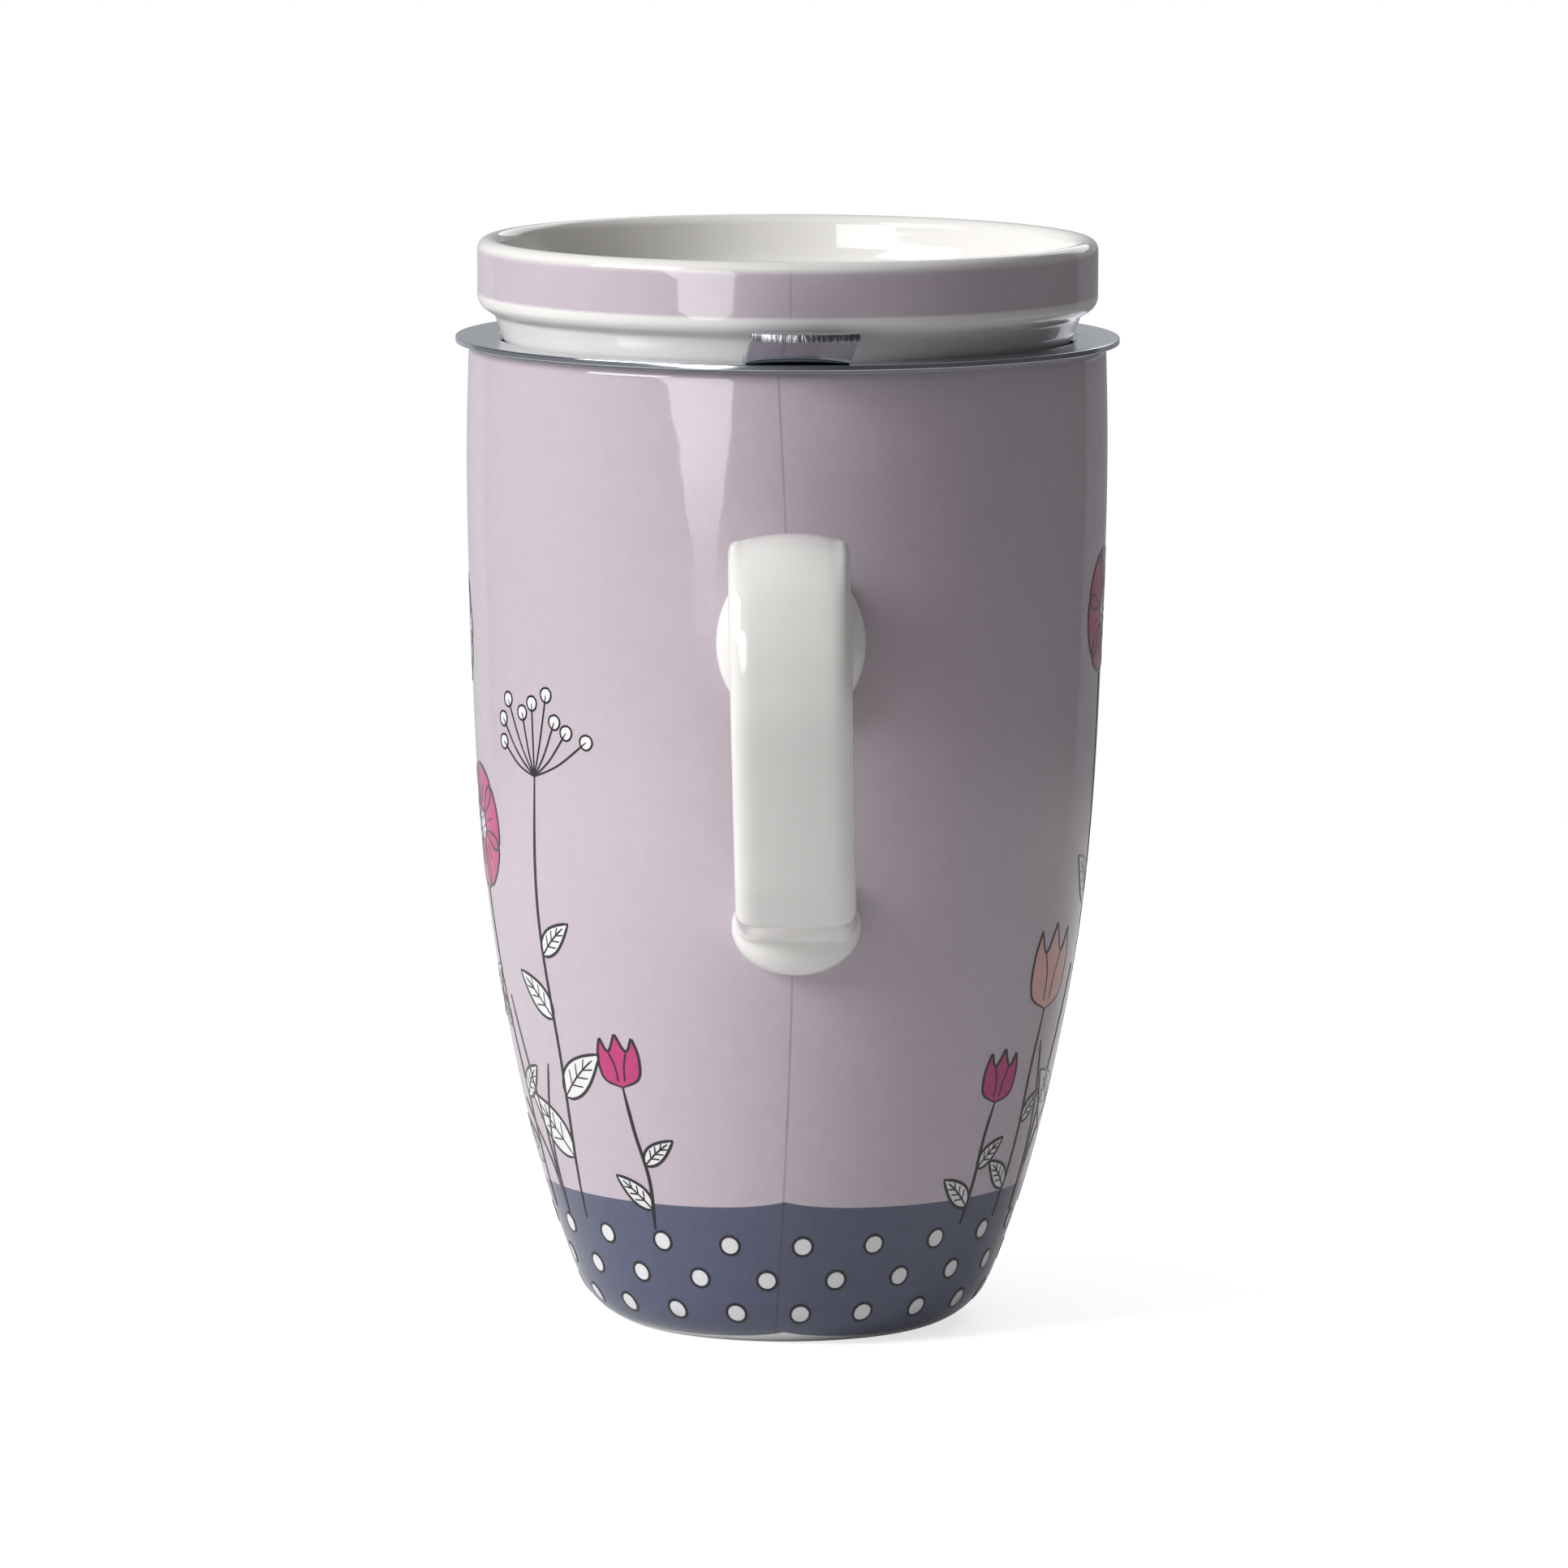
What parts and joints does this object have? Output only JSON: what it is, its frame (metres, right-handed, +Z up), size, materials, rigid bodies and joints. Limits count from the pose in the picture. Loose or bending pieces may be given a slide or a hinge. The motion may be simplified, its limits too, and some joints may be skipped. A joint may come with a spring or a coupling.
{
  "type": "lidded tea mug with infuser",
  "caption": "Tall belly-shaped china tea mug with a strap handle, a lift-out perforated steel infuser hung by its flange, and a loose china lid that stands inside the flange.",
  "frame": {"origin": "centre of the foot ring, on the table", "axes": "+Z up the mug's axis; the handle and the infuser's lift tab point towards -Y"},
  "size_m": [0.0914, 0.1214, 0.15],
  "materials": {
    "mug_china": "clear glaze over a lilac print with a grey-blue foot band; white inside",
    "handle_china": "white glaze",
    "lid_china": "white glaze, lilac band",
    "infuser_steel": "satin pressed stainless steel",
    "tab_steel": "polished stainless steel with sheared edges",
    "basket_steel": "perforated stainless sheet"
  },
  "bodies": {
    "mug": {"mug_body": "mug_china", "handle": "handle_china"},
    "infuser": {"infuser_rim": "infuser_steel", "lift_tab": "tab_steel", "infuser_sleeve": "basket_steel", "infuser_base": "basket_steel"},
    "lid": {"lid": "lid_china"}
  },
  "joints": [
    {"name": "infuser_lift", "type": "slide", "parent": "mug", "child": "infuser", "axis": [0, 0, 1], "range_m": [0, 0.11]},
    {"name": "lid_lift", "type": "slide", "parent": "infuser", "child": "lid", "axis": [0, 0, 1], "range_m": [0, 0.05]}
  ]
}
